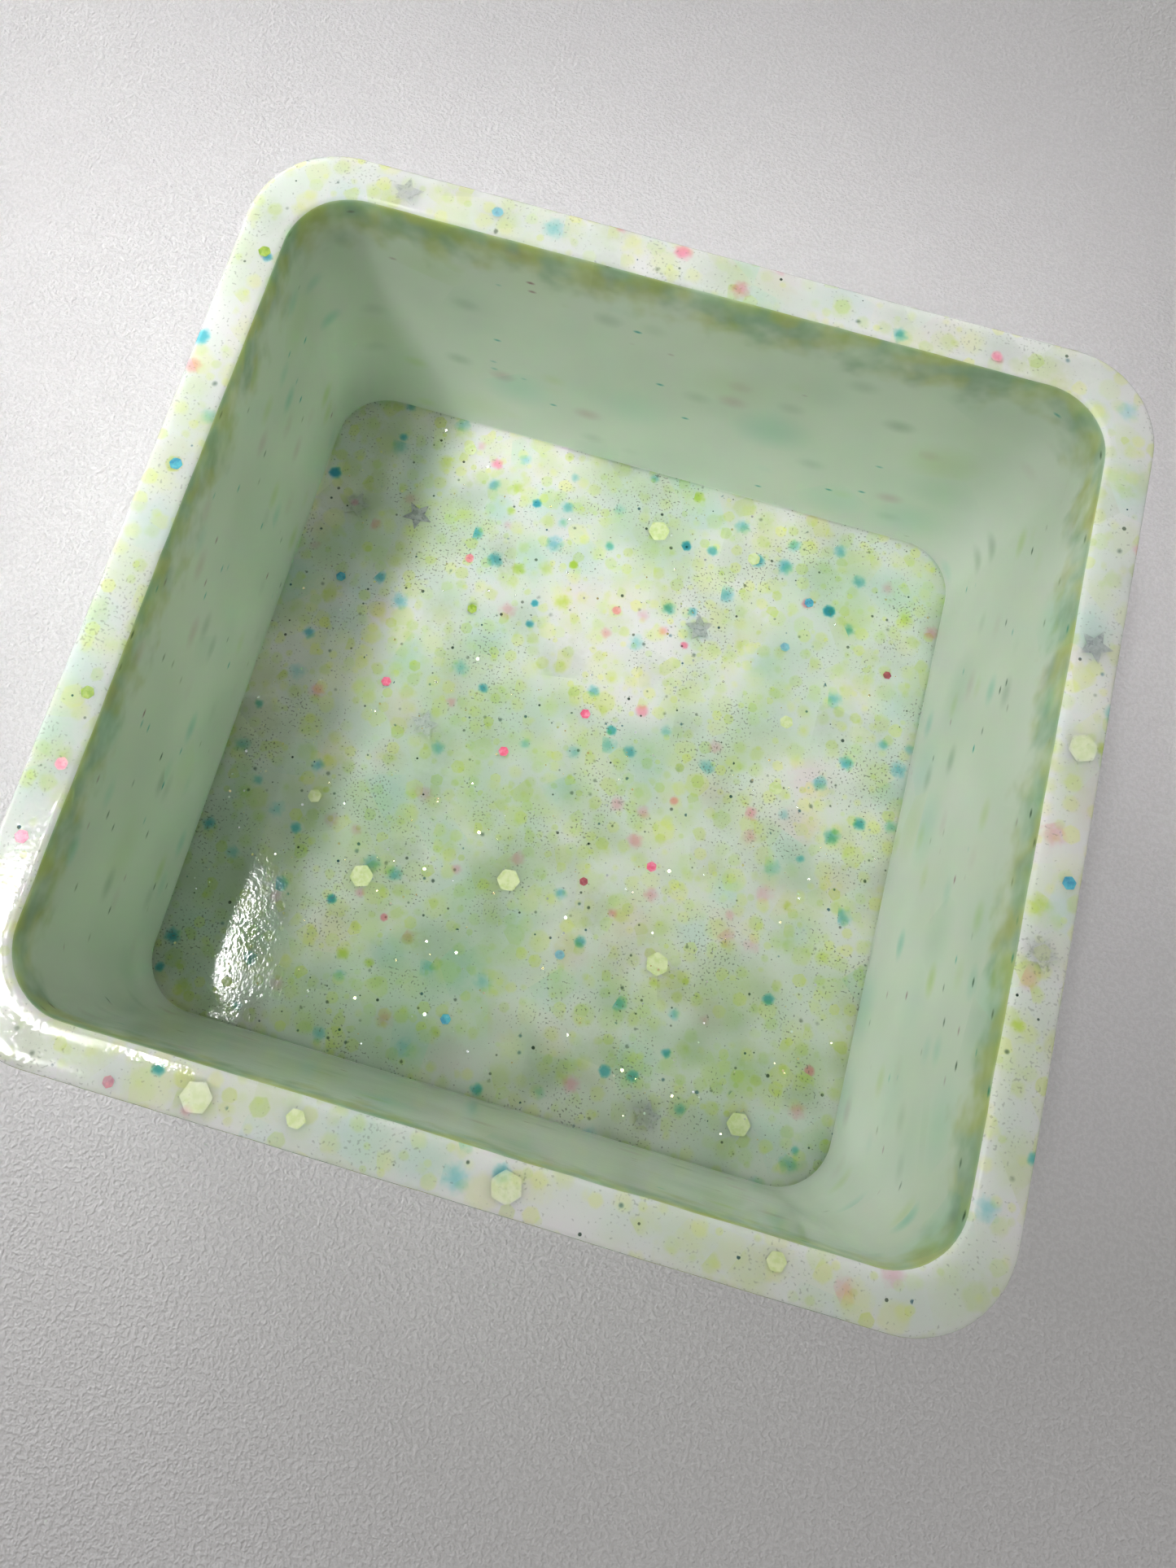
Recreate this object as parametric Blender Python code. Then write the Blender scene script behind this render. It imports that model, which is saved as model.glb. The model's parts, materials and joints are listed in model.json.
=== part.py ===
"""A square resin casting mould: one poured tray of soft silicone with glitter flakes cast into its surface.

Metres, +Z up. The origin is the middle of the underside.
+Y points to the far wall and +X to the right wall.
The silicone is one piece. Each flake that shows sharply in its surface is a piece of its own, in a pocket.
"""

import math
import random

import bmesh
import bpy

# Driving dimensions of the silicone tray.
OUTER_SIDE = 0.085
RIM_WIDTH = 0.0045
CAVITY_DEPTH = 0.035
BASE_THICKNESS = 0.007
WALL_DRAFT = 0.0008
OUTER_CORNER_RADIUS = 0.0085
CAVITY_CORNER_RADIUS = 0.006
LIP_RADIUS = 0.0005
UNDERSIDE_RADIUS = 0.0008
CORNER_SEGMENTS = 8
EDGE_SEGMENTS = 3
SMOOTH_ANGLE = math.radians(40)

# Driving dimensions of the flakes. A flake lies flush with the surface, with a gap under it and all round.
FLAKE_THICKNESS = 0.00025
FLAKE_GAP = 0.0001
STAR_WAIST = 0.45
STAR_TIPS = 5
HEXAGON_SIDES = 6
POCKET_CUT_ABOVE = 0.002

# Levels and half sides that follow from the driving dimensions.
FLOOR_Z = BASE_THICKNESS
RIM_Z = BASE_THICKNESS + CAVITY_DEPTH
OUTER_HALF = OUTER_SIDE / 2
CAVITY_HALF = OUTER_HALF - RIM_WIDTH
FLOOR_HALF = CAVITY_HALF - WALL_DRAFT

# Material: base colour, roughness and metallic value.
MATERIALS = {
    "silicone": ((0.62, 0.76, 0.62), 0.22, 0.0),
    "silver": ((0.42, 0.46, 0.46), 0.35, 0.8),
    "lime": ((0.66, 0.82, 0.30), 0.25, 0.0),
    "pink": ((0.90, 0.20, 0.38), 0.30, 0.0),
    "blue": ((0.05, 0.42, 0.58), 0.30, 0.0),
    "green": ((0.30, 0.52, 0.05), 0.30, 0.0),
    "red": ((0.42, 0.05, 0.10), 0.30, 0.0),
}

# Each kind of flake: its material, its outline and the radius of its corners.
KINDS = {
    "silver_star": ("silver", "star", 0.00185),
    "small_silver_star": ("silver", "star", 0.0016),
    "large_lime_hexagon": ("lime", "hexagon", 0.0013),
    "medium_lime_hexagon": ("lime", "hexagon", 0.0008),
    "pink_dot": ("pink", "hexagon", 0.0006),
    "blue_dot": ("blue", "hexagon", 0.0006),
    "green_dot": ("green", "hexagon", 0.0006),
    "red_dot": ("red", "hexagon", 0.0005),
}

# How many flakes of each kind lie in the surface of each level.
FLAKES_ON_FLOOR = {
    "silver_star": 5,
    "large_lime_hexagon": 5,
    "medium_lime_hexagon": 5,
    "pink_dot": 6,
    "blue_dot": 5,
    "green_dot": 3,
    "red_dot": 2,
}
FLAKES_ON_RIM = {
    "small_silver_star": 3,
    "large_lime_hexagon": 3,
    "medium_lime_hexagon": 2,
    "pink_dot": 3,
    "blue_dot": 3,
    "green_dot": 2,
    "red_dot": 1,
}

# The flakes are strewn at random, at least this far apart and this far from the walls and corners.
SCATTER_SEED = 1
FLAKE_SPACING = 0.006
EDGE_CLEARANCE = 0.003


def clear_scene():
    for thing in list(bpy.data.objects):
        bpy.data.objects.remove(thing, do_unlink=True)


def make_material(name):
    colour, roughness, metallic = MATERIALS[name]
    material = bpy.data.materials.new(name)
    material.use_nodes = True
    shader = material.node_tree.nodes["Principled BSDF"]
    shader.inputs["Base Color"].default_value = (*colour, 1.0)
    shader.inputs["Roughness"].default_value = roughness
    shader.inputs["Metallic"].default_value = metallic
    material.diffuse_color = (*colour, 1.0)
    return material


def place_mesh(name, mesh, material=None):
    thing = bpy.data.objects.new(name, mesh)
    bpy.context.scene.collection.objects.link(thing)
    if material and not mesh.materials:
        mesh.materials.append(material)
    return thing


# The silicone tray.

def rounded_square(half, corner_radius, z):
    """The points of a square with round corners, anticlockwise from the top of its right side."""
    points = []
    for quarter in range(4):
        turn = math.radians(90 * quarter)
        middle = half - corner_radius
        for step in range(CORNER_SEGMENTS + 1):
            angle = math.radians(90) * step / CORNER_SEGMENTS
            x = middle + corner_radius * math.cos(angle)
            y = middle + corner_radius * math.sin(angle)
            turned_x = x * math.cos(turn) - y * math.sin(turn)
            turned_y = x * math.sin(turn) + y * math.cos(turn)
            points.append((turned_x, turned_y, z))
    return points


def rounded_edge(half, corner_radius, z, edge_radius, start_degrees, end_degrees):
    """The loops of a rounded edge. half and z are the middle of the edge's own arc."""
    loops = []
    for step in range(EDGE_SEGMENTS + 1):
        angle = math.radians(start_degrees + (end_degrees - start_degrees) * step / EDGE_SEGMENTS)
        out = edge_radius * math.cos(angle)
        loops.append((half + out, corner_radius + out, z + edge_radius * math.sin(angle)))
    return loops


def tray_loops():
    """Half side, corner radius and height of each loop, from the underside over the rim to the floor."""
    underside = rounded_edge(
        OUTER_HALF - UNDERSIDE_RADIUS, OUTER_CORNER_RADIUS - UNDERSIDE_RADIUS, UNDERSIDE_RADIUS,
        UNDERSIDE_RADIUS, -90, 0)
    outer_rim = rounded_edge(
        OUTER_HALF - LIP_RADIUS, OUTER_CORNER_RADIUS - LIP_RADIUS, RIM_Z - LIP_RADIUS,
        LIP_RADIUS, 0, 90)
    inner_lip = rounded_edge(
        CAVITY_HALF + LIP_RADIUS, CAVITY_CORNER_RADIUS + LIP_RADIUS, RIM_Z - LIP_RADIUS,
        LIP_RADIUS, 90, 180)
    floor = (FLOOR_HALF, CAVITY_CORNER_RADIUS, FLOOR_Z)
    return [*underside, *outer_rim, *inner_lip, floor]


def build_tray():
    shape = bmesh.new()
    rings = []
    for half, corner_radius, z in tray_loops():
        rings.append([shape.verts.new(point) for point in rounded_square(half, corner_radius, z)])
    for lower, upper in zip(rings, rings[1:]):
        for index, vertex in enumerate(lower):
            following = (index + 1) % len(lower)
            shape.faces.new((vertex, lower[following], upper[following], upper[index]))
    shape.faces.new(rings[0])
    shape.faces.new(rings[-1])
    bmesh.ops.recalc_face_normals(shape, faces=shape.faces)
    mesh = bpy.data.meshes.new("mould_body")
    shape.to_mesh(mesh)
    shape.free()
    mesh.shade_smooth()
    mesh.set_sharp_from_angle(angle=SMOOTH_ANGLE)
    return place_mesh("mould_body", mesh, make_material("silicone"))


# The flakes and their pockets.

def hexagon_outline(radius, margin):
    """A regular hexagon, grown outwards by margin on every side."""
    corner = radius + margin / math.cos(math.pi / HEXAGON_SIDES)
    turn = 2 * math.pi / HEXAGON_SIDES
    return [(corner * math.cos(turn * i), corner * math.sin(turn * i)) for i in range(HEXAGON_SIDES)]


def star_outline(radius, margin):
    """A star, grown outwards by margin on every side. Its first tip points along +X."""
    turn = math.pi / STAR_TIPS
    side = math.sqrt(1 + STAR_WAIST ** 2 - 2 * STAR_WAIST * math.cos(turn))
    side_distance = STAR_WAIST * math.sin(turn) / side
    tip = radius + margin / side_distance
    outline = []
    for i in range(2 * STAR_TIPS):
        reach = tip if i % 2 == 0 else tip * STAR_WAIST
        outline.append((reach * math.cos(turn * i), reach * math.sin(turn * i)))
    return outline


def kind_outline(kind, margin=0.0):
    _, outline, radius = KINDS[kind]
    if outline == "star":
        return star_outline(radius, margin)
    return hexagon_outline(radius, margin)


def add_prism(shape, outline, bottom, top, x=0.0, y=0.0, turn=0.0):
    """Adds a closed upright prism to a bmesh."""
    loops = []
    for z in (bottom, top):
        loop = []
        for along, across in outline:
            turned_x = along * math.cos(turn) - across * math.sin(turn)
            turned_y = along * math.sin(turn) + across * math.cos(turn)
            loop.append(shape.verts.new((x + turned_x, y + turned_y, z)))
        loops.append(loop)
    lower, upper = loops
    shape.faces.new(lower[::-1])
    shape.faces.new(upper)
    for index, vertex in enumerate(lower):
        following = (index + 1) % len(lower)
        shape.faces.new((vertex, lower[following], upper[following], upper[index]))


def pocket_reach(kind):
    """How far a flake's pocket reaches from its middle."""
    return max(math.hypot(x, y) for x, y in kind_outline(kind, FLAKE_GAP))


def draw_floor_place(draws, _kind):
    reach = FLOOR_HALF - EDGE_CLEARANCE
    return draws.uniform(-reach, reach), draws.uniform(-reach, reach), draws.uniform(0.0, math.tau)


def draw_rim_place(draws, kind):
    """A place on the flat of a straight side of the rim. A star fits there only if it points outwards."""
    side = math.radians(90 * draws.randrange(4))
    straight_half = OUTER_HALF - OUTER_CORNER_RADIUS - EDGE_CLEARANCE
    along = draws.uniform(-straight_half, straight_half)
    out = OUTER_HALF - RIM_WIDTH / 2
    reach = pocket_reach(kind)
    if KINDS[kind][1] == "star":
        turn = side
        out -= reach * (1 - math.cos(math.pi / STAR_TIPS)) / 2
    else:
        turn = draws.uniform(0.0, math.tau)
        slack = RIM_WIDTH / 2 - LIP_RADIUS - reach
        out += draws.uniform(-slack, slack)
    x = out * math.cos(side) - along * math.sin(side)
    y = out * math.sin(side) + along * math.cos(side)
    return x, y, turn


def flake_places():
    """Each flake's kind, x, y, surface height and turn, in metres and radians, clear of each other."""
    draws = random.Random(SCATTER_SEED)
    levels = ((FLOOR_Z, FLAKES_ON_FLOOR, draw_floor_place), (RIM_Z, FLAKES_ON_RIM, draw_rim_place))
    for surface_z, counts, draw_place in levels:
        taken = []
        for kind, count in counts.items():
            for _ in range(count):
                x, y, turn = draw_place(draws, kind)
                while any(math.dist((x, y), other) < FLAKE_SPACING for other in taken):
                    x, y, turn = draw_place(draws, kind)
                taken.append((x, y))
                yield kind, x, y, surface_z, turn


def build_flake_meshes():
    materials = {}
    meshes = {}
    for kind, (colour, _, _) in KINDS.items():
        if colour not in materials:
            materials[colour] = make_material(colour)
        shape = bmesh.new()
        add_prism(shape, kind_outline(kind), -FLAKE_THICKNESS, 0.0)
        mesh = bpy.data.meshes.new(kind)
        shape.to_mesh(mesh)
        shape.free()
        mesh.materials.append(materials[colour])
        meshes[kind] = mesh
    return meshes


def build_flakes(tray):
    """Every flake is its own object, laid in the tray's surface, and flakes of one kind share a mesh."""
    meshes = build_flake_meshes()
    counts = dict.fromkeys(KINDS, 0)
    for kind, x, y, surface_z, turn in flake_places():
        counts[kind] += 1
        flake = place_mesh(f"{kind}_{counts[kind]}", meshes[kind])
        flake.location = (x, y, surface_z)
        flake.rotation_euler = (0.0, 0.0, turn)
        flake.parent = tray


def cut_pockets(tray):
    """One cutter holds all the pockets, which are clear of each other."""
    shape = bmesh.new()
    for kind, x, y, surface_z, turn in flake_places():
        bottom = surface_z - FLAKE_THICKNESS - FLAKE_GAP
        add_prism(shape, kind_outline(kind, FLAKE_GAP), bottom, surface_z + POCKET_CUT_ABOVE, x, y, turn)
    mesh = bpy.data.meshes.new("pocket_cutter")
    shape.to_mesh(mesh)
    shape.free()
    cutter = place_mesh("pocket_cutter", mesh)
    cutter.hide_render = True
    cutter.display_type = "WIRE"
    cut = tray.modifiers.new("pockets", "BOOLEAN")
    cut.operation = "DIFFERENCE"
    cut.solver = "EXACT"
    cut.object = cutter


def main():
    clear_scene()
    tray = build_tray()
    build_flakes(tray)
    cut_pockets(tray)


main()
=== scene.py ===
import json
import math
import random

import bmesh
import bpy
from mathutils import Euler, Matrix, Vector, noise


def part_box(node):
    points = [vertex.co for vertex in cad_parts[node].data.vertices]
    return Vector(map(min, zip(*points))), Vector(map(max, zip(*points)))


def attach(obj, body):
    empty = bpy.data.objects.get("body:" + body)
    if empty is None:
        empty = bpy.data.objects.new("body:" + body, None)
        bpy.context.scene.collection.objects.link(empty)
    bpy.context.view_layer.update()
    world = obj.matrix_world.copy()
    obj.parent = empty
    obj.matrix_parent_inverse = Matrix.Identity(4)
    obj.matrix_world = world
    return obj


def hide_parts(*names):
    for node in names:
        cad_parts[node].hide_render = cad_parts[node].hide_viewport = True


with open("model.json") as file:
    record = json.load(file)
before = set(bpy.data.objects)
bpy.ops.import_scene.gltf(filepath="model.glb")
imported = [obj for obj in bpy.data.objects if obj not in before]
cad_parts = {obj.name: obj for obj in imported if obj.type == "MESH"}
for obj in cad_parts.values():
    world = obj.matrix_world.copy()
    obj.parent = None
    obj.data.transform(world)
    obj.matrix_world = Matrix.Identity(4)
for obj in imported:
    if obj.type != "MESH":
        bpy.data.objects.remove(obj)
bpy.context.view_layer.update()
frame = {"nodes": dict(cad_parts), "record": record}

# Sizes in metres, in the frame of the CAD model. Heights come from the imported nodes.
MILLIMETRE = 0.001
BODY_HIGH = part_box("mould_body")[1]
OUTER_HALF = BODY_HIGH.x
RIM_Z = BODY_HIGH.z
FLOOR_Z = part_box("silver_star_1")[1].z
RIM_WIDTH = 0.0045
WALL_DRAFT = 0.0008
OUTER_CORNER_RADIUS = 0.0085
CAVITY_CORNER_RADIUS = 0.006
LIP_RADIUS = 0.0005
UNDERSIDE_RADIUS = 0.0008
FLOOR_RADIUS = 0.0003
CAVITY_HALF = OUTER_HALF - RIM_WIDTH
FLOOR_HALF = CAVITY_HALF - WALL_DRAFT

# The silicone's skin lies this far under the tops of the flakes that are set in it.
FLAKE_STANDS_PROUD = 0.00002


# Camera: from above the near side of the cavity, slightly turned.

def make_camera():
    data = bpy.data.cameras.new("camera")
    data.sensor_width = 36.0
    data.lens = 27.05
    data.shift_x = 0.0415
    data.shift_y = -0.0415
    data.clip_start = 0.005
    camera = bpy.data.objects.new("camera", data)
    bpy.context.scene.collection.objects.link(camera)
    camera.location = (-0.00084, -0.02852, RIM_Z + 0.09412)
    camera.rotation_euler = Euler([math.radians(angle) for angle in (14.03, -1.62, 16.06)])
    bpy.context.scene.camera = camera


# Shader graphs. A wire is a value in a node tree that plain arithmetic combines with others.

class Wire:
    def __init__(self, tree, socket):
        self.tree = tree
        self.socket = socket

    def __add__(self, other):
        return calculate(self.tree, "ADD", self, other)

    def __sub__(self, other):
        return calculate(self.tree, "SUBTRACT", self, other)

    def __rsub__(self, other):
        return calculate(self.tree, "SUBTRACT", other, self)

    def __mul__(self, other):
        return calculate(self.tree, "MULTIPLY", self, other)


def plug(tree, socket, value):
    """Sets an input to a number, a colour or vector, or the end of a wire."""
    if isinstance(value, Wire):
        tree.links.new(value.socket, socket)
    elif isinstance(value, (tuple, list)) and len(value) == 3 and socket.type == "RGBA":
        socket.default_value = (*value, 1.0)
    else:
        socket.default_value = value


def calculate(tree, operation, *values):
    node = tree.nodes.new("ShaderNodeMath")
    node.operation = operation
    for socket, value in zip(node.inputs, values):
        plug(tree, socket, value)
    return Wire(tree, node.outputs[0])


def vector_sum(tree, operation, *values):
    node = tree.nodes.new("ShaderNodeVectorMath")
    node.operation = operation
    for socket, value in zip(node.inputs, values):
        plug(tree, socket, value)
    return Wire(tree, node.outputs["Vector"])


def split(tree, vector):
    node = tree.nodes.new("ShaderNodeSeparateXYZ")
    plug(tree, node.inputs[0], vector)
    return [Wire(tree, output) for output in node.outputs]


def ramp(tree, value, start, end, low=0.0, high=1.0):
    """A smooth step: low where value is at start, high where it is at end, clamped past both."""
    node = tree.nodes.new("ShaderNodeMapRange")
    node.interpolation_type = "SMOOTHSTEP"
    plug(tree, node.inputs["Value"], value)
    plug(tree, node.inputs["From Min"], start)
    plug(tree, node.inputs["From Max"], end)
    plug(tree, node.inputs["To Min"], low)
    plug(tree, node.inputs["To Max"], high)
    return Wire(tree, node.outputs["Result"])


def blend(tree, share, first, second):
    """first where share is 0 and second where it is 1, as colours."""
    node = tree.nodes.new("ShaderNodeMix")
    node.data_type = "RGBA"
    plug(tree, node.inputs[0], share)
    plug(tree, node.inputs[6], first)
    plug(tree, node.inputs[7], second)
    return Wire(tree, node.outputs[2])


def dye(tree, share, colour, tint):
    """colour seen through a tint, which thins out towards none as share goes from 1 to 0."""
    thin = tree.nodes.new("ShaderNodeGamma")
    plug(tree, thin.inputs["Color"], tint)
    plug(tree, thin.inputs["Gamma"], share)
    node = tree.nodes.new("ShaderNodeMix")
    node.data_type = "RGBA"
    node.blend_type = "MULTIPLY"
    plug(tree, node.inputs[0], 1.0)
    plug(tree, node.inputs[6], colour)
    plug(tree, node.inputs[7], Wire(tree, thin.outputs[0]))
    return Wire(tree, node.outputs[2])


def clouds(tree, point, pitch, detail=2.0, roughness=0.5, seed=0.0):
    """Smooth noise from 0 to 1. point and pitch, the size of its clouds, are in millimetres."""
    node = tree.nodes.new("ShaderNodeTexNoise")
    node.noise_dimensions = "3D"
    shifted = vector_sum(tree, "ADD", point, (seed, seed * 1.7, seed * 0.6))
    plug(tree, node.inputs["Vector"], shifted)
    node.inputs["Scale"].default_value = 1.0 / pitch
    node.inputs["Detail"].default_value = detail
    node.inputs["Roughness"].default_value = roughness
    return Wire(tree, node.outputs["Fac"])


def group_input(group, name, kind, value):
    socket = group.interface.new_socket(name, in_out="INPUT", socket_type=kind)
    socket.default_value = value


def use_group(tree, group, **inputs):
    node = tree.nodes.new("ShaderNodeGroup")
    node.node_tree = group
    for name, value in inputs.items():
        plug(tree, node.inputs[name.replace("_", " ")], value)
    return {output.name: Wire(tree, output) for output in node.outputs}


def palette(tree, value, colours):
    """One of the colours, in equal shares of value from 0 to 1."""
    node = tree.nodes.new("ShaderNodeValToRGB")
    node.color_ramp.interpolation = "CONSTANT"
    stops = node.color_ramp.elements
    while len(stops) < len(colours):
        stops.new(1.0)
    for number, colour in enumerate(colours):
        stops[number].position = number / len(colours)
        stops[number].color = (*colour, 1.0)
    plug(tree, node.inputs[0], value)
    return Wire(tree, node.outputs[0])


def make_flake_group():
    """Hexagonal flakes strewn over a plane, one in some of the cells of a jittered grid. Most lie deep in the
    milky silicone, where they blur and fade, and a few are crisp."""
    group = bpy.data.node_groups.new("strewn_flakes", "ShaderNodeTree")
    group_input(group, "Point", "NodeSocketVector", (0, 0, 0))
    group_input(group, "Shift", "NodeSocketVector", (0, 0, 0))
    group_input(group, "Fuzz", "NodeSocketFloat", 0.0)
    group_input(group, "Pitch", "NodeSocketFloat", 1.0)
    group_input(group, "Radius", "NodeSocketFloat", 0.5)
    group_input(group, "Spread", "NodeSocketFloat", 0.3)
    group_input(group, "Blur", "NodeSocketFloat", 0.3)
    group_input(group, "Share", "NodeSocketFloat", 0.5)
    group_input(group, "Top", "NodeSocketFloat", 0.0)
    group.interface.new_socket("Mask", in_out="OUTPUT", socket_type="NodeSocketFloat")
    group.interface.new_socket("Kind", in_out="OUTPUT", socket_type="NodeSocketFloat")
    entry = group.nodes.new("NodeGroupInput")
    given = {output.name: Wire(group, output) for output in entry.outputs if output.name}
    point = vector_sum(group, "ADD", given["Point"], given["Shift"])
    cells = group.nodes.new("ShaderNodeTexVoronoi")
    cells.voronoi_dimensions = "2D"
    cells.inputs["Randomness"].default_value = 0.9
    plug(group, cells.inputs["Vector"], point)
    plug(group, cells.inputs["Scale"], calculate(group, "DIVIDE", 1.0, given["Pitch"]))
    local = vector_sum(group, "SUBTRACT", point, Wire(group, cells.outputs["Position"]))
    chance, draw, size = split(group, Wire(group, cells.outputs["Color"]))
    depth = given["Top"] + (1.0 - given["Top"]) * calculate(group, "SQRT", draw)
    turned = group.nodes.new("ShaderNodeVectorRotate")
    turned.rotation_type = "Z_AXIS"
    plug(group, turned.inputs["Vector"], local)
    plug(group, turned.inputs["Angle"], size * 6.0)
    across, along, _ = split(group, Wire(group, turned.outputs["Vector"]))
    across = calculate(group, "ABSOLUTE", across)
    along = calculate(group, "ABSOLUTE", along)
    flat_sides = calculate(group, "MAXIMUM", across, across * 0.5 + along * 0.866)
    radius = given["Radius"] * (1.0 - given["Spread"] * size)
    edge = radius * (given["Blur"] * depth * depth + 0.08)
    straight = calculate(group, "SQRT", across * across + along * along)
    reach = flat_sides + (straight - flat_sides) * depth
    inside = ramp(group, reach + given["Fuzz"] * edge, radius + edge, radius - edge)
    present = calculate(group, "LESS_THAN", chance, given["Share"])
    mask = inside * present * (1.0 - depth * given["Blur"] * 0.7)
    result = group.nodes.new("NodeGroupOutput")
    plug(group, result.inputs["Mask"], mask)
    plug(group, result.inputs["Kind"], calculate(group, "DIVIDE", chance, given["Share"]))
    return group


# Tints of the flakes against the silicone round them, in linear light.
LIMES = (
    (0.86, 0.94, 0.42), (0.96, 1.00, 0.50), (0.82, 0.93, 0.50), (1.02, 1.03, 0.52), (0.90, 0.99, 0.66))
HAZES = (
    (0.50, 0.84, 0.82), (0.74, 0.80, 0.46), (1.02, 0.76, 0.83), (0.58, 0.62, 0.57), (0.88, 0.95, 0.60),
    (0.58, 0.84, 0.90))
DOTS = (
    (0.01, 0.26, 0.48), (1.25, 0.16, 0.34), (0.02, 0.38, 0.60), (0.48, 0.72, 0.03), (0.01, 0.24, 0.44),
    (1.20, 0.30, 0.48), (0.05, 0.44, 0.62), (0.95, 0.20, 0.36), (0.06, 0.50, 0.56))
SPECKS = ((0.03, 0.05, 0.04), (0.20, 0.24, 0.20), (0.10, 0.12, 0.10), (0.05, 0.12, 0.16))

# Flakes that lie near a level surface, deepest first: cell pitch and radius in millimetres, spread of size,
# blur and share of the cells that hold one. Then the depth of the highest of them, where the surface is 0,
# how strongly they tint the silicone, and their tints.
GLITTER = (
    (5.2, 2.4, 0.4, 1.0, 0.75, 0.6, 0.60, HAZES),
    (4.4, 2.1, 0.3, 1.0, 0.60, 0.4, 0.36, LIMES),
    (3.1, 1.30, 0.3, 0.9, 0.58, 0.1, 0.55, LIMES),
    (2.0, 0.76, 0.3, 0.6, 0.55, 0.0, 0.70, LIMES),
    (3.0, 0.68, 0.5, 1.2, 0.28, 0.42, 1.00, DOTS),
    (1.5, 0.42, 0.4, 0.9, 0.38, 0.2, 0.70, LIMES),
    (1.9, 0.18, 0.7, 1.0, 0.72, 0.0, 0.95, SPECKS),
)
# The first layers of GLITTER also show through the top of the walls.
HAZE_LAYERS = 2
# The rim holds this share of the floor's dots and specks, its lime flakes show this strongly, and its
# silicone is painted this much nearer to a pale grey: a painted sheen for the sky's reflection on the rim.
RIM_SHARE = 0.6
RIM_STRENGTH = 0.9
RIM_PAINTED_SHEEN = 0.6


def is_on_rim(tree, height):
    """1 above half the rim's height and 0 below. height is in millimetres."""
    return calculate(tree, "GREATER_THAN", height, 0.5 * RIM_Z / MILLIMETRE)


def strew(tree, flakes, point, colour, layers):
    fuzz = clouds(tree, point, 0.6, detail=1.0, seed=60.0) * 1.4 - 0.7
    _, _, height = split(tree, point)
    on_rim = is_on_rim(tree, height)
    thinned = 1.0 - on_rim * (1.0 - RIM_SHARE)
    paler = 1.0 - on_rim * (1.0 - RIM_STRENGTH)
    drift = ramp(tree, clouds(tree, point, 7.0, detail=1.0, seed=70.0), 0.38, 0.72)
    for number, (pitch, radius, spread, blur, share, top, strength, colours) in enumerate(layers):
        shift = (37.0 * number + 11.0, 23.0 * number + 5.0, 0.0)
        held = share if colours in (LIMES, HAZES) else thinned * share
        if colours is SPECKS:
            held = held * drift
        found = use_group(
            tree, flakes, Point=point, Shift=shift, Fuzz=fuzz, Pitch=pitch, Radius=radius, Spread=spread,
            Blur=blur, Share=held, Top=top)
        shown = found["Mask"] * (paler * strength if colours in (LIMES, HAZES) else strength)
        colour = dye(tree, shown, colour, palette(tree, found["Kind"], colours))
    return colour


def add_milk(tree, point):
    """The silicone itself, with slow drifts between whiter and greener mint, and painted shade that makes it
    darker and greener near the near wall.
    """
    drift = clouds(tree, point, 14.0, detail=2.0)
    milk = blend(tree, ramp(tree, drift, 0.35, 0.68), (0.56, 0.67, 0.58), (0.81, 0.82, 0.80))
    patch = clouds(tree, point, 7.0, detail=1.0, seed=40.0)
    _, along, height = split(tree, point)
    on_rim = is_on_rim(tree, height)
    # Painted shade: towards the near side the floor turns darker and greener, and its olive patches grow
    # stronger.
    near = ramp(tree, along, 24.0, -30.0) * (1.0 - on_rim)
    milk = blend(tree, ramp(tree, patch, 0.45, 0.80) * (near * 0.4 + 0.3), milk, (0.44, 0.55, 0.38))
    milk = dye(tree, near, milk, (0.80, 0.86, 0.77))
    # Painted sheen: the rim's silicone is made paler and greyer than the floor's.
    return blend(tree, on_rim * RIM_PAINTED_SHEEN, milk, (0.66, 0.665, 0.64))


def add_dust(tree, point, colour):
    """Fine dark glitter dust, in drifts."""
    dust = clouds(tree, point, 0.23, detail=0.0, seed=21.0)
    drifts = ramp(tree, clouds(tree, point, 6.0, detail=1.0, seed=33.0), 0.35, 0.75)
    found = ramp(tree, dust + drifts * 0.14, 0.74, 0.88)
    _, _, height = split(tree, point)
    on_rim = is_on_rim(tree, height)
    return blend(tree, found * (0.65 - on_rim * 0.3), colour, (0.13, 0.15, 0.12))


def object_point(tree):
    """The place on the mould, in millimetres."""
    place = tree.nodes.new("ShaderNodeTexCoord")
    point = vector_sum(tree, "SCALE", Wire(tree, place.outputs["Object"]))
    point.socket.node.inputs["Scale"].default_value = 1.0 / MILLIMETRE
    return point


def make_level_group(flakes):
    """The colour of the cavity floor and of the rim, where the glitter settled."""
    group = bpy.data.node_groups.new("glitter_silicone", "ShaderNodeTree")
    group.interface.new_socket("Color", in_out="OUTPUT", socket_type="NodeSocketColor")
    point = object_point(group)
    colour = add_dust(group, point, strew(group, flakes, point, add_milk(group, point), GLITTER))
    result = group.nodes.new("NodeGroupOutput")
    plug(group, result.inputs["Color"], colour)
    return group


PALE_TINTS = ((0.60, 0.88, 0.82), (0.76, 0.86, 0.56), (1.12, 1.06, 1.10), (0.64, 0.80, 0.72))
CLEAR_TINTS = ((0.32, 0.72, 0.66), (0.62, 0.80, 0.30), (0.82, 0.62, 0.70), (0.45, 0.55, 0.48))
DARK_TINTS = ((0.08, 0.11, 0.09), (0.28, 0.31, 0.25), (0.08, 0.38, 0.40), (0.40, 0.22, 0.28))

# Flakes behind the skin of the walls: cell pitch, radius, share of the cells that hold one and how much
# longer than high they look, then strength and tints.
SMUDGES = (
    (9.0, 5.5, 0.70, 1.2, 0.50, PALE_TINTS),
    (5.0, 2.2, 0.34, 1.5, 0.50, CLEAR_TINTS),
    (3.6, 0.60, 0.16, 2.2, 0.80, DARK_TINTS),
)


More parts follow.
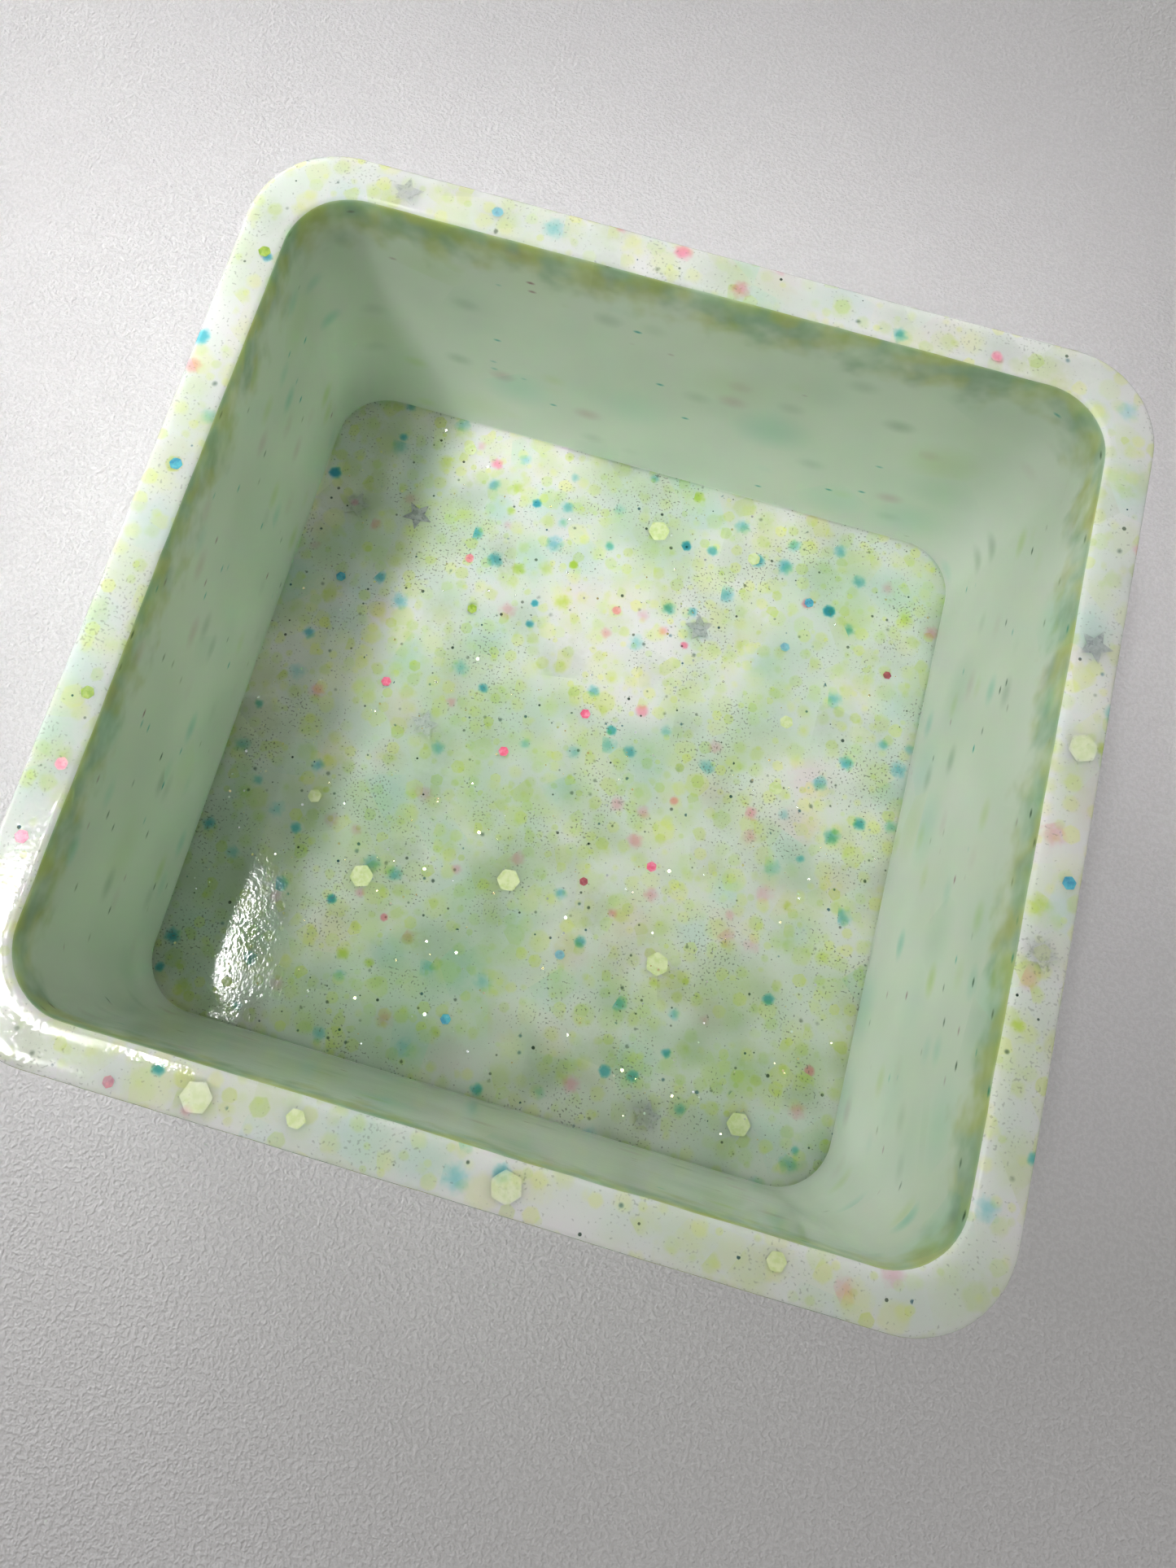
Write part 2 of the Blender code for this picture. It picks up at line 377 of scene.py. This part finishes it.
def wall_colour(tree, flakes, point):
    """Plain mint. Flakes lie flat, so a wall shows them edge-on, as short faint level smudges."""
    drift = ramp(tree, clouds(tree, point, 18.0, detail=2.0, seed=80.0), 0.3, 0.7)
    wall = blend(tree, drift, (0.68, 0.76, 0.67), (0.77, 0.83, 0.76))
    _, _, height = split(tree, point)
    # Painted shade: the walls darken from the floor up towards the rim.
    wall = dye(tree, ramp(tree, height, FLOOR_Z / MILLIMETRE, RIM_Z / MILLIMETRE), wall, (0.82, 0.84, 0.79))
    for number, (pitch, radius, share, flattened, strength, tints) in enumerate(SMUDGES):
        cells = tree.nodes.new("ShaderNodeTexVoronoi")
        cells.voronoi_dimensions = "3D"
        cells.inputs["Scale"].default_value = 1.0 / pitch
        squeezed = vector_sum(tree, "MULTIPLY", point, (1.0, 1.0, flattened))
        shifted = vector_sum(tree, "ADD", squeezed, (19.0 * number, 31.0 * number, 7.0 * number))
        plug(tree, cells.inputs["Vector"], shifted)
        chance, kind, depth = split(tree, Wire(tree, cells.outputs["Color"]))
        near = ramp(tree, Wire(tree, cells.outputs["Distance"]) * pitch, radius, 0.0)
        found = near * calculate(tree, "LESS_THAN", chance, share) * (1.0 - depth * 0.7)
        wall = dye(tree, found * strength, wall, palette(tree, kind, tints))
    # The flakes of the rim show through the top of the walls as an uneven stained band.
    reach = clouds(tree, point, 3.0, detail=2.0, seed=14.0) * 10.0 - 5.0
    under_rim = ramp(tree, height + reach, RIM_Z / MILLIMETRE - 6.5, RIM_Z / MILLIMETRE + 1.0)
    tint = ramp(tree, clouds(tree, point, 3.0, detail=1.0, seed=17.0), 0.35, 0.65)
    stain = blend(tree, tint, (0.30, 0.42, 0.30), (0.50, 0.50, 0.16))
    stained = strew(tree, flakes, point, wall, GLITTER[:HAZE_LAYERS])
    return dye(tree, under_rim * 0.62, blend(tree, under_rim, wall, stained), stain)


def new_material(name):
    material = bpy.data.materials.new(name)
    material.use_nodes = True
    return material, material.node_tree, material.node_tree.nodes["Principled BSDF"]


def add_bump(tree, shader, height):
    """Bump whose height is in millimetres."""
    node = tree.nodes.new("ShaderNodeBump")
    node.inputs["Distance"].default_value = MILLIMETRE
    plug(tree, node.inputs["Height"], height)
    tree.links.new(node.outputs["Normal"], shader.inputs["Normal"])


def finish_silicone(tree, shader, point, peel_pitch, peel_height):
    """Gloss, a skin that ripples by peel_height, in millimetres, and soft light under the surface."""
    smear = clouds(tree, point, 7.0, detail=1.0, seed=12.0)
    plug(tree, shader.inputs["Roughness"], ramp(tree, smear, 0.3, 0.75, 0.05, 0.12))
    peel = clouds(tree, point, peel_pitch, detail=1.0)
    slow = clouds(tree, point, 12.0, detail=0.0, seed=5.0)
    add_bump(tree, shader, peel * peel_height + slow * 0.04)
    shader.inputs["IOR"].default_value = 1.41
    shader.inputs["Subsurface Weight"].default_value = 1.0
    shader.inputs["Subsurface Radius"].default_value = (1.0, 1.25, 0.95)
    shader.inputs["Subsurface Scale"].default_value = 0.004


def make_level_silicone(surface):
    material, tree, shader = new_material("silicone_with_glitter")
    plug(tree, shader.inputs["Base Color"], use_group(tree, surface)["Color"])
    finish_silicone(tree, shader, object_point(tree), 0.45, 0.010)
    return material


def make_wall_silicone(flakes):
    material, tree, shader = new_material("silicone_wall")
    point = object_point(tree)
    plug(tree, shader.inputs["Base Color"], wall_colour(tree, flakes, point))
    finish_silicone(tree, shader, point, 0.9, 0.005)
    return material


# Film of a flake: its colour, its second colour, metallic value and roughness.
FILMS = {
    "silver_film": ((0.20, 0.23, 0.23), (0.34, 0.37, 0.37), 0.3, 0.35),
    "lime_film": ((0.62, 0.74, 0.32), (0.74, 0.82, 0.48), 0.0, 0.2),
    "pink_film": ((0.86, 0.09, 0.22), (0.90, 0.24, 0.38), 0.0, 0.25),
    "blue_film": ((0.01, 0.27, 0.44), (0.06, 0.46, 0.58), 0.0, 0.25),
    "green_film": ((0.22, 0.38, 0.01), (0.38, 0.52, 0.05), 0.0, 0.25),
    "red_film": ((0.28, 0.02, 0.06), (0.45, 0.06, 0.10), 0.0, 0.25),
}

# How much of a flake the silicone over it veils, where that is more than a little.
VEILS = {
    "silver_star_2": 0.45, "silver_star_3": 0.35, "silver_star_4": 0.5, "silver_star_5": 0.4,
    "small_silver_star_1": 0.3, "small_silver_star_2": 0.5, "small_silver_star_3": 0.6,
    "large_lime_hexagon_6": 0.3, "large_lime_hexagon_7": 0.4, "large_lime_hexagon_8": 0.45,
    "pink_dot_2": 0.3, "pink_dot_5": 0.4, "pink_dot_7": 0.3, "pink_dot_9": 0.55,
    "blue_dot_4": 0.3, "blue_dot_5": 0.3, "blue_dot_8": 0.3, "green_dot_3": 0.4,
}
LIGHT_VEIL = 0.08


def make_film(name, surface, veil):
    """A film flake under a thin skin of silicone: its colour fades into the milk towards its edge."""
    material, tree, shader = new_material(f"{name}_{round(100 * veil):02d}")
    dark, light, metallic, roughness = FILMS[name]
    point = object_point(tree)
    tone = ramp(tree, clouds(tree, point, 0.6, detail=2.0), 0.35, 0.65)
    film = blend(tree, tone, dark, light)
    place = tree.nodes.new("ShaderNodeTexCoord")
    centred = vector_sum(tree, "SUBTRACT", Wire(tree, place.outputs["Generated"]), (0.5, 0.5, 0.0))
    flat = vector_sum(tree, "MULTIPLY", centred, (1.0, 1.0, 0.0))
    reach = tree.nodes.new("ShaderNodeVectorMath")
    reach.operation = "LENGTH"
    plug(tree, reach.inputs[0], flat)
    faded = ramp(tree, Wire(tree, reach.outputs["Value"]), 0.62 - 0.1 * veil, 0.46 - 0.35 * veil)
    shown = faded * (1.0 - veil)
    made = use_group(tree, surface)
    plug(tree, shader.inputs["Base Color"], blend(tree, shown, made["Color"], film))
    shader.inputs["Metallic"].default_value = metallic * (1.0 - veil)
    grain = clouds(tree, point, 0.4, detail=2.0, seed=3.0)
    plug(tree, shader.inputs["Roughness"], ramp(tree, grain, 0.3, 0.7, roughness * 0.7, roughness * 1.3))
    add_bump(tree, shader, clouds(tree, point, 0.8, detail=1.0) * 0.01)
    shader.inputs["IOR"].default_value = 1.5
    return material


# The silicone body, as one closed mesh of loops with round corners.

SIDE_STEPS = 36
CORNER_STEPS = 14
EDGE_STEPS = 6


def rounded_square(half, corner_radius, z):
    points = []
    middle = half - corner_radius
    for quarter in range(4):
        turn = math.radians(90 * quarter)
        outline = []
        for step in range(CORNER_STEPS + 1):
            angle = math.radians(90) * step / CORNER_STEPS
            x = middle + corner_radius * math.cos(angle)
            y = middle + corner_radius * math.sin(angle)
            outline.append((x, y))
        for step in range(1, SIDE_STEPS):
            outline.append((middle - 2 * middle * step / SIDE_STEPS, half))
        for x, y in outline:
            points.append(Vector((
                x * math.cos(turn) - y * math.sin(turn), x * math.sin(turn) + y * math.cos(turn), z)))
    return points


def rounded_edge(half, corner_radius, z, edge_radius, start_degrees, end_degrees):
    loops = []
    for step in range(EDGE_STEPS + 1):
        angle = math.radians(start_degrees + (end_degrees - start_degrees) * step / EDGE_STEPS)
        out = edge_radius * math.cos(angle)
        loops.append((half + out, corner_radius + out, z + edge_radius * math.sin(angle)))
    return loops


def straight(first, last, steps):
    """Loops between two others, without either."""
    return [
        tuple(a + (b - a) * step / steps for a, b in zip(first, last))
        for step in range(1, steps)
    ]


def body_loops():
    skin_z = RIM_Z - FLAKE_STANDS_PROUD
    floor_z = FLOOR_Z - FLAKE_STANDS_PROUD
    underside = rounded_edge(
        OUTER_HALF - UNDERSIDE_RADIUS, OUTER_CORNER_RADIUS - UNDERSIDE_RADIUS, UNDERSIDE_RADIUS,
        UNDERSIDE_RADIUS, -90, 0)
    outer_rim = rounded_edge(
        OUTER_HALF - LIP_RADIUS, OUTER_CORNER_RADIUS - LIP_RADIUS, skin_z - LIP_RADIUS, LIP_RADIUS, 0, 90)
    inner_lip = rounded_edge(
        CAVITY_HALF + LIP_RADIUS, CAVITY_CORNER_RADIUS + LIP_RADIUS, skin_z - LIP_RADIUS, LIP_RADIUS, 90, 180)
    floor = rounded_edge(
        FLOOR_HALF - FLOOR_RADIUS, CAVITY_CORNER_RADIUS - FLOOR_RADIUS, floor_z + FLOOR_RADIUS,
        FLOOR_RADIUS, 0, -90)
    inner_floor = (FLOOR_HALF - 0.004, CAVITY_CORNER_RADIUS - 0.003, floor_z)
    return [
        (OUTER_HALF - 0.005, OUTER_CORNER_RADIUS - 0.005, 0.0),
        *underside,
        *straight(underside[-1], outer_rim[0], 14),
        *outer_rim,
        *straight(outer_rim[-1], inner_lip[0], 4),
        *inner_lip,
        *straight(inner_lip[-1], floor[0], 16),
        *floor,
        *straight(floor[-1], inner_floor, 3),
        inner_floor,
    ]


def poured_unevenness(point, inner):
    """Poured silicone isn't machined: walls and lips wander by about a tenth of a millimetre, out of the
    cavity or in from the outer side, so that the body stays inside its box."""
    outwards = Vector((point.x, point.y, 0.0)).normalized()
    slow = noise.noise(point * 60.0) * 0.5 + 0.5
    quick = noise.noise(point * 420.0) * 0.5 + 0.5
    near_lip = max(0.0, 1.0 - abs(RIM_Z - point.z) / 0.0015)
    if inner:
        above_floor = min(1.0, max(0.0, point.z - FLOOR_Z) / 0.004)
        return outwards * (slow * 0.00016 * above_floor + quick * 0.00014 * near_lip)
    off_base = min(1.0, max(0.0, point.z - 0.001) / 0.004)
    return -outwards * (slow * 0.00016 * off_base + quick * 0.00008 * near_lip)


LEVEL_SLOT, WALL_SLOT = 0, 1


def build_body(level_material, wall_material):
    shape = bmesh.new()
    loops = body_loops()
    middle_of_rim = OUTER_HALF - RIM_WIDTH / 2
    passed_rim = False
    rings = []
    for half, corner_radius, z in loops:
        passed_rim = passed_rim or (z > FLOOR_Z and half < middle_of_rim)
        ring = []
        for point in rounded_square(half, corner_radius, z):
            ring.append(shape.verts.new(point + poured_unevenness(point, passed_rim)))
        rings.append(ring)
    for lower, upper in zip(rings, rings[1:]):
        for index, vertex in enumerate(lower):
            following = (index + 1) % len(lower)
            shape.faces.new((vertex, lower[following], upper[following], upper[index]))
    shape.faces.new(rings[0])
    shape.faces.new(rings[-1])
    bmesh.ops.recalc_face_normals(shape, faces=shape.faces)
    for face in shape.faces:
        face.material_index = LEVEL_SLOT if face.normal.z > 0.6 else WALL_SLOT
    mesh = bpy.data.meshes.new("silicone_tray")
    shape.to_mesh(mesh)
    shape.free()
    mesh.materials.append(level_material)
    mesh.materials.append(wall_material)
    mesh.shade_smooth()
    mesh.set_sharp_from_angle(angle=math.radians(35))
    body = bpy.data.objects.new("silicone_tray", mesh)
    bpy.context.scene.collection.objects.link(body)
    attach(body, "root")
    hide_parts("mould_body")


CHIPS = 480
CHIP_THICKNESS = 0.00006
CHIP_RADII = (0.00006, 0.00008, 0.00010, 0.00015)
CHIP_LEAN = 0.45
# This share of the chips leans roughly one way, towards the skylights, and glints.
GLINTING_SHARE = 0.35
GLINT_NORMAL = Vector((-0.20, -0.04, 0.98))
GLINT_SCATTER = 0.07


def make_chip_film():
    """Bright film with a gold or a silver tinge."""
    material, tree, shader = new_material("chip_film")
    point = object_point(tree)
    tinge = ramp(tree, clouds(tree, point, 2.5, detail=0.0, seed=9.0), 0.42, 0.58)
    plug(tree, shader.inputs["Base Color"], blend(tree, tinge, (0.95, 0.86, 0.50), (0.90, 0.96, 0.94)))
    shader.inputs["Metallic"].default_value = 0.9
    grain = clouds(tree, point, 0.1, detail=1.0)
    plug(tree, shader.inputs["Roughness"], ramp(tree, grain, 0.3, 0.7, 0.12, 0.25))
    return material


def add_chip(shape, middle, radius, normal, turn):
    """A thin closed hexagonal plate."""
    frame_of_chip = normal.to_track_quat("Z", "Y").to_matrix()
    rings = []
    for side in (-0.5, 0.5):
        ring = []
        for corner in range(6):
            angle = turn + math.radians(60 * corner)
            local = Vector((radius * math.cos(angle), radius * math.sin(angle), side * CHIP_THICKNESS))
            ring.append(shape.verts.new(middle + frame_of_chip @ local))
        rings.append(ring)
    shape.faces.new(reversed(rings[0]))
    shape.faces.new(rings[1])
    for corner in range(6):
        following = (corner + 1) % 6
        shape.faces.new((rings[0][corner], rings[0][following], rings[1][following], rings[1][corner]))


def build_chips():
    """Tiny film chips in the skin of the cavity floor. Each leans its own way, so only some of them glint."""
    draws = random.Random(11)
    shape = bmesh.new()
    reach = FLOOR_HALF - 0.0015
    for _ in range(CHIPS):
        x = draws.uniform(-reach, reach)
        y = draws.uniform(-reach, reach)
        lean_x = draws.uniform(-CHIP_LEAN, CHIP_LEAN)
        lean_y = draws.uniform(-CHIP_LEAN, CHIP_LEAN)
        lean = Vector((lean_x, lean_y, 1.0)).normalized()
        if draws.random() < GLINTING_SHARE:
            off = Vector((draws.gauss(0, GLINT_SCATTER), draws.gauss(0, GLINT_SCATTER), 0.0))
            lean = (GLINT_NORMAL + off).normalized()
        radius = draws.choice(CHIP_RADII)
        middle = Vector((x, y, FLOOR_Z - FLAKE_STANDS_PROUD + radius * 0.15))
        add_chip(shape, middle, radius, lean, draws.uniform(0.0, math.tau))
    mesh = bpy.data.meshes.new("glitter_chips")
    shape.to_mesh(mesh)
    shape.free()
    mesh.materials.append(make_chip_film())
    chips = bpy.data.objects.new("glitter_chips", mesh)
    bpy.context.scene.collection.objects.link(chips)
    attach(chips, "root")


def dress_flakes(surface):
    """Each flake of the CAD model keeps its shape and gets its film."""
    films = {}
    for subpart in frame["record"]["subparts"]:
        key = subpart["material_slot"], VEILS.get(subpart["node"], LIGHT_VEIL)
        if key[0] in FILMS:
            if key not in films:
                films[key] = make_film(key[0], surface, key[1])
            for slot in frame["nodes"][subpart["node"]].material_slots:
                slot.material = films[key]


# Stage: a pale table with a fine grain and painted shade in its hollows, under soft light.

TABLE_HALF = 1.5
ROOM_DARK = (0.35, 0.34, 0.33)
ROOM_BRIGHT = (0.455, 0.45, 0.45)

# Name, place, aim, width, height, spread in degrees and power in watts.
LAMPS = (
    ("low_window", (-0.45, 0.45, 0.25), (0.0, 0.0, 0.02), 0.35, 0.25, 180, 1.20),
    ("back_skylight", (-0.25, -0.10, 0.60), (0.0, 0.045, 0.0), 0.12, 0.12, 12, 0.0150),
    ("left_skylight", (-0.30, -0.02, 0.60), (-0.08, 0.03, 0.0), 0.15, 0.15, 14, 0.033),
    ("far_skylight", (-0.25, -0.10, 0.60), (0.024, 0.030, 0.007), 0.10, 0.10, 8, 0.0058),
    ("side_window", (-0.60, -0.05, 0.25), (-0.13, -0.07, 0.0), 0.25, 0.15, 20, 0.028),
    ("strip", (-0.17, -0.03, 0.60), (0.0, 0.0, 0.02), 0.08, 0.015, 180, 0.28),
)


def make_table():
    material, tree, shader = new_material("table")
    point = object_point(tree)
    cloudy = ramp(tree, clouds(tree, point, 120.0), 0.3, 0.7)
    tone = blend(tree, cloudy, (0.66, 0.65, 0.655), (0.72, 0.71, 0.71))
    pebbles = clouds(tree, point, 0.5, detail=1.0, roughness=0.6)
    # Painted shade: the table is darker in the hollows between its pebbles.
    painted_hollow_shade = ramp(tree, pebbles, 0.62, 0.40)
    plug(tree, shader.inputs["Base Color"], blend(tree, painted_hollow_shade * 0.16, tone, (0.30, 0.29, 0.28)))
    plug(tree, shader.inputs["Roughness"], ramp(tree, pebbles, 0.3, 0.7, 0.42, 0.26))
    add_bump(tree, shader, ramp(tree, pebbles, 0.30, 0.70) * 0.10)
    shape = bmesh.new()
    reach = TABLE_HALF
    corners = ((-reach, -reach), (reach, -reach), (reach, reach), (-reach, reach))
    shape.faces.new([shape.verts.new((x, y, 0.0)) for x, y in corners])
    mesh = bpy.data.meshes.new("table")
    shape.to_mesh(mesh)
    shape.free()
    mesh.materials.append(material)
    table = bpy.data.objects.new("table", mesh)
    bpy.context.scene.collection.objects.link(table)


def add_light(name, location, aim, width, height, spread, power):
    data = bpy.data.lights.new(name, "AREA")
    data.shape = "RECTANGLE"
    data.size = width
    data.size_y = height
    data.spread = math.radians(spread)
    data.energy = power
    light = bpy.data.objects.new(name, data)
    bpy.context.scene.collection.objects.link(light)
    light.location = location
    direction = Vector(aim) - Vector(location)
    light.rotation_euler = direction.to_track_quat("-Z", "Y").to_euler()


def light_stage():
    """A soft room that is brighter towards the back left, with a large window there and small skylights."""
    world = bpy.data.worlds.new("studio")
    world.use_nodes = True
    tree = world.node_tree
    place = tree.nodes.new("ShaderNodeTexCoord")
    facing = tree.nodes.new("ShaderNodeVectorMath")
    facing.operation = "DOT_PRODUCT"
    plug(tree, facing.inputs[0], Wire(tree, place.outputs["Generated"]))
    plug(tree, facing.inputs[1], (-0.52, 0.62, 0.59))
    bright = ramp(tree, Wire(tree, facing.outputs["Value"]), -0.6, 1.0)
    plug(tree, tree.nodes["Background"].inputs["Color"], blend(tree, bright, ROOM_DARK, ROOM_BRIGHT))
    bpy.context.scene.world = world
    for lamp in LAMPS:
        add_light(*lamp)
    bpy.context.scene.view_settings.view_transform = "Standard"


make_camera()
flake_group = make_flake_group()
glitter_surface = make_level_group(flake_group)
build_body(make_level_silicone(glitter_surface), make_wall_silicone(flake_group))
build_chips()
dress_flakes(glitter_surface)
make_table()
light_stage()
